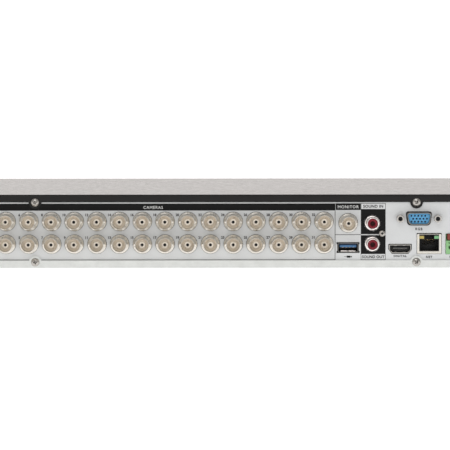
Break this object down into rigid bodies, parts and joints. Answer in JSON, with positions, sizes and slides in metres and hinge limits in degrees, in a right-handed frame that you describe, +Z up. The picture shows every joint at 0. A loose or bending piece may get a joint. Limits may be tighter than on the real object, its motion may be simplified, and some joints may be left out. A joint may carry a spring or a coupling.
{
  "type": "dvr recorder",
  "caption": "Low wide video recorder, seen from its rear: rows of coax video inputs, AV, USB, display, network, alarm and power ports in a steel case.",
  "frame": {"origin": "on the surface it stands on, under the middle of the whole object", "axes": "+X to the right when facing the front, +Y towards the rear connectors, +Z up"},
  "size_m": [0.379, 0.293, 0.055],
  "materials": {
    "cover_paint": "fine-textured black powder coat",
    "tray_steel": "bright galvanised sheet",
    "panel_paint": "satin pale grey paint",
    "print_black": "screen-printed ink",
    "print_white": "screen-printed ink",
    "nickel": "warm nickel plating",
    "screw_nickel": "nickel-plated steel",
    "port_steel": "tin-plated drawn shell",
    "dielectric": "moulded insulator",
    "gold": "gold-plated contact",
    "bezel_plastic": "polished black moulding",
    "window_plastic": "smoked window",
    "clear_plastic": "clear light guide",
    "black_plastic": "moulded black plastic",
    "foot_rubber": "moulded rubber",
    "port_blue": "moulded blue plastic",
    "vga_blue": "moulded light blue plastic",
    "audio_red": "moulded dark red insulator",
    "terminal_green": "moulded green plastic",
    "terminal_red": "moulded orange-red plastic",
    "lamp_yellow": "diffused lamp window",
    "lamp_green": "diffused lamp window",
    "circuit_board": "solder mask with tinned pads",
    "chip_black": "moulded chip package",
    "heat_sink_metal": "extruded, natural",
    "cell_steel": "stamped cell can",
    "drive_casting": "die cast",
    "drive_lid": "pressed steel",
    "label_paper": "plain label",
    "platter_mirror": "polished disk",
    "lead_red": "flexible jacket",
    "lead_black": "flexible jacket",
    "lead_grey": "ribbon jacket"
  },
  "bodies": {
    "case": {"base_tray": "tray_steel", "rear_panel": "panel_paint", "top_cover": "cover_paint", "front_bezel": "bezel_plastic", "front_window": "window_plastic", "light_guide": "clear_plastic", "front_board": "circuit_board", "front_usb_shell": "port_steel", "front_usb_core": "black_plastic", "foot_front_left": "foot_rubber", "foot_front_right": "foot_rubber", "foot_rear_left": "foot_rubber", "foot_rear_right": "foot_rubber", "cover_screw_left": "screw_nickel", "cover_screw_right": "screw_nickel", "tray_screw_left": "screw_nickel", "tray_screw_right": "screw_nickel", "side_screw_left_front": "screw_nickel", "side_screw_left_rear": "screw_nickel", "side_screw_right_front": "screw_nickel", "side_screw_right_rear": "screw_nickel", "coax_block_1": "nickel", "coax_block_2": "nickel", "coax_block_3": "nickel", "coax_block_4": "nickel", "video_out_jack": "nickel", "audio_jack_block": "nickel", "audio_block_screw": "screw_nickel", "usb_shell": "port_steel", "usb_core": "port_blue", "vga_shell": "port_steel", "vga_insert": "vga_blue", "vga_nut_left": "screw_nickel", "vga_nut_right": "screw_nickel", "hdmi_shell": "port_steel", "hdmi_tongue": "black_plastic", "lan_shell": "port_steel", "lan_insert": "black_plastic", "terminal_block": "terminal_green", "dc_jack": "black_plastic", "ground_screw": "screw_nickel", "switch_housing": "black_plastic", "main_board": "circuit_board", "heat_sink": "heat_sink_metal", "coin_cell": "cell_steel", "buzzer": "black_plastic", "fan_frame": "black_plastic", "drive_base": "drive_casting", "drive_cover": "drive_lid", "data_lead": "lead_red", "power_lead": "lead_black", "ribbon_lead": "lead_grey"},
    "switch_rocker": {"switch_rocker": "black_plastic"},
    "terminal_button_a": {"terminal_button_a": "terminal_red"},
    "terminal_button_b": {"terminal_button_b": "terminal_red"},
    "fan_rotor": {"fan_rotor": "black_plastic"},
    "drive_platters": {"drive_platters": "platter_mirror"},
    "drive_arm": {"drive_arm": "heat_sink_metal"}
  },
  "joints": [
    {"name": "rocker_hinge", "type": "hinge", "parent": "case", "child": "switch_rocker", "pos_m": [-0.1715, 0.1311, 0.0305], "axis": [1, 0, 0], "range_deg": [0, 22]},
    {"name": "terminal_button_a_slide", "type": "slide", "parent": "case", "child": "terminal_button_a", "axis": [0, -1, 0], "range_m": [0, 0.0018], "stiffness_N_per_m": 300, "springref_m": -0.001},
    {"name": "terminal_button_b_slide", "type": "slide", "parent": "case", "child": "terminal_button_b", "axis": [0, -1, 0], "range_m": [0, 0.0018], "stiffness_N_per_m": 300, "springref_m": -0.001},
    {"name": "fan_spin", "type": "hinge", "parent": "case", "child": "fan_rotor", "pos_m": [0.1805, -0.06, 0.0304], "axis": [1, 0, 0], "continuous": true},
    {"name": "platter_spin", "type": "hinge", "parent": "case", "child": "drive_platters", "pos_m": [-0.1175, -0.059, 0.022], "axis": [0, 0, 1], "continuous": true},
    {"name": "arm_swing", "type": "hinge", "parent": "case", "child": "drive_arm", "pos_m": [-0.0535, -0.083, 0.022], "axis": [0, 0, 1], "range_deg": [0, 50]}
  ]
}
